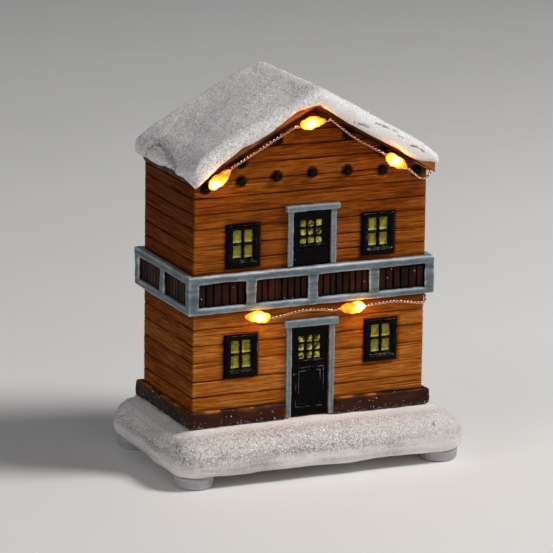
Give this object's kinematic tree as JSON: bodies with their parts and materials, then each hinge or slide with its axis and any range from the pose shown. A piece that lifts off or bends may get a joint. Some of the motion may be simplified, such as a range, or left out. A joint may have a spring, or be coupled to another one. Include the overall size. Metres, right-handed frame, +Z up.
{
  "type": "christmas village chalet",
  "caption": "Snow-topped log chalet ornament with a balcony, micro LED lights on copper wire, and a battery box with slide switch and screwed lid under its snow base.",
  "frame": {"origin": "on the surface the chalet stands on, under the middle of its snow base", "axes": "+Z up; the front with the doors faces -Y; +X to the right seen from the front"},
  "size_m": [0.089, 0.0558, 0.1095],
  "materials": {
    "glitter_snow": "cast resin painted white with fine glitter",
    "painted_timber": "cast resin painted and stained amber brown",
    "dark_timber": "cast resin painted dark brown",
    "umber_paint": "cast resin painted red-brown",
    "slat_brown": "cast resin painted maroon-brown",
    "blue_grey_paint": "cast resin painted blue-grey",
    "black_brown_paint": "cast resin painted black-brown",
    "olive_yellow_paint": "cast resin painted olive-yellow",
    "foot_rubber": "white soft foot",
    "led_resin": "clear resin drop over a lit warm chip",
    "copper_wire": "lacquered copper",
    "box_plastic": "moulded, fine texture",
    "cell_wrap": "plain wrapped cell",
    "nickel_plate": "nickel-plated steel",
    "switch_black": "moulded black"
  },
  "bodies": {
    "house": {"snow_base": "glitter_snow", "roof_snow": "glitter_snow", "foot_front_left": "foot_rubber", "foot_front_right": "foot_rubber", "foot_rear_left": "foot_rubber", "foot_rear_right": "foot_rubber", "house_walls": "painted_timber", "plinth": "umber_paint", "roof_boards": "dark_timber", "balcony_frame": "blue_grey_paint", "balcony_slats": "slat_brown", "window_frame_upper_left": "black_brown_paint", "window_frame_upper_right": "black_brown_paint", "window_frame_lower_left": "black_brown_paint", "window_frame_lower_right": "black_brown_paint", "window_glazing_upper_left": "olive_yellow_paint", "window_glazing_upper_right": "olive_yellow_paint", "window_glazing_lower_left": "olive_yellow_paint", "window_glazing_lower_right": "olive_yellow_paint", "door_lower": "black_brown_paint", "door_upper": "black_brown_paint", "door_glazing_lower": "olive_yellow_paint", "door_glazing_upper": "olive_yellow_paint", "door_frame_lower": "blue_grey_paint", "door_frame_upper": "blue_grey_paint", "log_end_row_1": "black_brown_paint", "log_end_row_2": "black_brown_paint", "log_end_row_3": "black_brown_paint", "log_end_row_4": "black_brown_paint", "log_end_row_5": "black_brown_paint", "log_end_row_6": "black_brown_paint", "log_end_row_7": "black_brown_paint", "log_end_rake_left_low": "black_brown_paint", "log_end_rake_left_high": "black_brown_paint", "log_end_rake_right_high": "black_brown_paint", "log_end_rake_right_low": "black_brown_paint", "led_upper_left": "led_resin", "led_apex": "led_resin", "led_upper_right": "led_resin", "led_lower_left": "led_resin", "led_lower_right": "led_resin", "wire_upper": "copper_wire", "wire_lower": "copper_wire", "battery_box": "box_plastic", "cell_front": "cell_wrap", "cell_rear": "cell_wrap", "contact_spring_front": "nickel_plate", "contact_spring_rear": "nickel_plate", "contact_link": "nickel_plate", "contact_positive": "nickel_plate", "contact_negative": "nickel_plate", "switch_body": "nickel_plate"},
    "lid": {"battery_lid": "box_plastic", "lid_screw": "nickel_plate"},
    "slider": {"switch_slider": "switch_black"}
  },
  "joints": [
    {"name": "lid_tilt", "type": "hinge", "parent": "house", "child": "lid", "pos_m": [-0.02995, 0.0036, 0.0036], "axis": [0, 1, 0], "range_deg": [0, 75]},
    {"name": "switch_slide", "type": "slide", "parent": "house", "child": "slider", "axis": [0, -1, 0], "range_m": [0, 0.002]}
  ]
}
